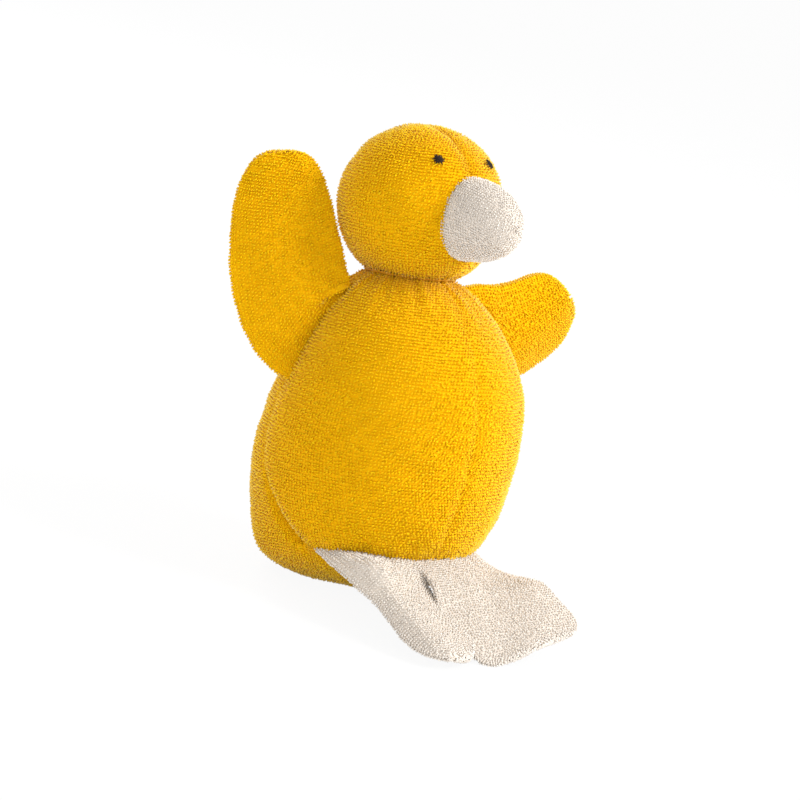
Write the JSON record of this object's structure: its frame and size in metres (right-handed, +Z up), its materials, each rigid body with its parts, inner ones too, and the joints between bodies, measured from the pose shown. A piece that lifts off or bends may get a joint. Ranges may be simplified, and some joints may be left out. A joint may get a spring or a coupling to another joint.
{
  "type": "plush chick rattle",
  "caption": "Sitting plush chick with an egg-shaped terry body, ball head, blunt cone beak, spread wings, flat feet and a rattle inside the filling.",
  "frame": {"origin": "the middle of the flat seat, where the base of the tail rests on the ground", "axes": "+Z up from the ground, -Y to where the chick faces, +X to the chick's own left"},
  "size_m": [0.1462, 0.1201, 0.1571],
  "materials": {
    "yellow_terry": "looped terry knit",
    "off_white_terry": "looped terry knit",
    "polyester_filling": "loose fibre",
    "yellow_thread": "drawn sewing thread",
    "brown_thread": "satin embroidery",
    "rattle_case": "moulded",
    "rattle_beads": "bright"
  },
  "bodies": {
    "torso": {"body_front_right": "yellow_terry", "body_front_left": "yellow_terry", "body_back_and_base": "yellow_terry", "body_stuffing": "polyester_filling", "rattle_case_lower": "rattle_case", "rattle_case_upper": "rattle_case"},
    "neck_ring": {"neck_thread": "yellow_thread"},
    "neck_core": {"neck_stuffing": "polyester_filling"},
    "head": {"head_cover_right": "yellow_terry", "head_cover_left": "yellow_terry", "head_stuffing": "polyester_filling", "eye_right": "brown_thread", "eye_left": "brown_thread", "beak_cover": "off_white_terry", "beak_stuffing": "polyester_filling"},
    "wing_right": {"wing_right_front": "yellow_terry", "wing_right_back": "yellow_terry", "wing_right_batting": "polyester_filling"},
    "wing_left": {"wing_left_front": "yellow_terry", "wing_left_back": "yellow_terry", "wing_left_batting": "polyester_filling"},
    "foot_right": {"foot_right_upper": "off_white_terry", "foot_right_sole": "off_white_terry"},
    "foot_left": {"foot_left_upper": "off_white_terry", "foot_left_sole": "off_white_terry"},
    "bead_1": {"rattle_bead_1": "rattle_beads"},
    "bead_2": {"rattle_bead_2": "rattle_beads"},
    "bead_3": {"rattle_bead_3": "rattle_beads"},
    "bead_4": {"rattle_bead_4": "rattle_beads"},
    "bead_5": {"rattle_bead_5": "rattle_beads"}
  },
  "joints": [
    {"name": "head_turn", "type": "hinge", "parent": "torso", "child": "neck_ring", "pos_m": [0, -0.01551, 0.09164], "axis": [0, 0.1219, 0.9925], "range_deg": [-45, 45], "stiffness_Nm_per_rad": 0.15},
    {"name": "head_tilt", "type": "hinge", "parent": "neck_ring", "child": "neck_core", "pos_m": [0, -0.01551, 0.09164], "axis": [0, 0.9925, -0.1219], "range_deg": [-8, 8], "stiffness_Nm_per_rad": 0.3},
    {"name": "head_nod", "type": "hinge", "parent": "neck_core", "child": "head", "pos_m": [0, -0.01551, 0.09164], "axis": [1, 0, 0], "range_deg": [-12, 12], "stiffness_Nm_per_rad": 0.3},
    {"name": "wing_right_flap", "type": "hinge", "parent": "torso", "child": "wing_right", "pos_m": [-0.03293, -0.00803, 0.08492], "axis": [0.4549, -0.0013, 0.8905], "range_deg": [-30, 30], "stiffness_Nm_per_rad": 0.05},
    {"name": "wing_left_flap", "type": "hinge", "parent": "torso", "child": "wing_left", "pos_m": [0.03293, -0.00803, 0.08492], "axis": [0.4549, 0.0013, -0.8905], "range_deg": [-30, 30], "stiffness_Nm_per_rad": 0.05},
    {"name": "foot_right_flap", "type": "hinge", "parent": "torso", "child": "foot_right", "pos_m": [-0.02053, -0.04926, 0.01934], "axis": [-0.7986, 0.5973, -0.0733], "range_deg": [-20, 30], "stiffness_Nm_per_rad": 0.05},
    {"name": "foot_left_flap", "type": "hinge", "parent": "torso", "child": "foot_left", "pos_m": [0.01386, -0.05317, 0.01996], "axis": [-0.9135, -0.4037, 0.0496], "range_deg": [-20, 30], "stiffness_Nm_per_rad": 0.05},
    {"name": "rattle_bead_1_roll", "type": "slide", "parent": "torso", "child": "bead_1", "axis": [0, 0.1219, 0.9925], "range_m": [0, 0.0161]},
    {"name": "rattle_bead_2_roll", "type": "slide", "parent": "torso", "child": "bead_2", "axis": [0, 0.1219, 0.9925], "range_m": [0, 0.0161]},
    {"name": "rattle_bead_3_roll", "type": "slide", "parent": "torso", "child": "bead_3", "axis": [0, 0.1219, 0.9925], "range_m": [0, 0.0161]},
    {"name": "rattle_bead_4_roll", "type": "slide", "parent": "torso", "child": "bead_4", "axis": [0, 0.1219, 0.9925], "range_m": [0, 0.0161]},
    {"name": "rattle_bead_5_roll", "type": "slide", "parent": "torso", "child": "bead_5", "axis": [0, 0.1219, 0.9925], "range_m": [0, 0.0161]}
  ]
}
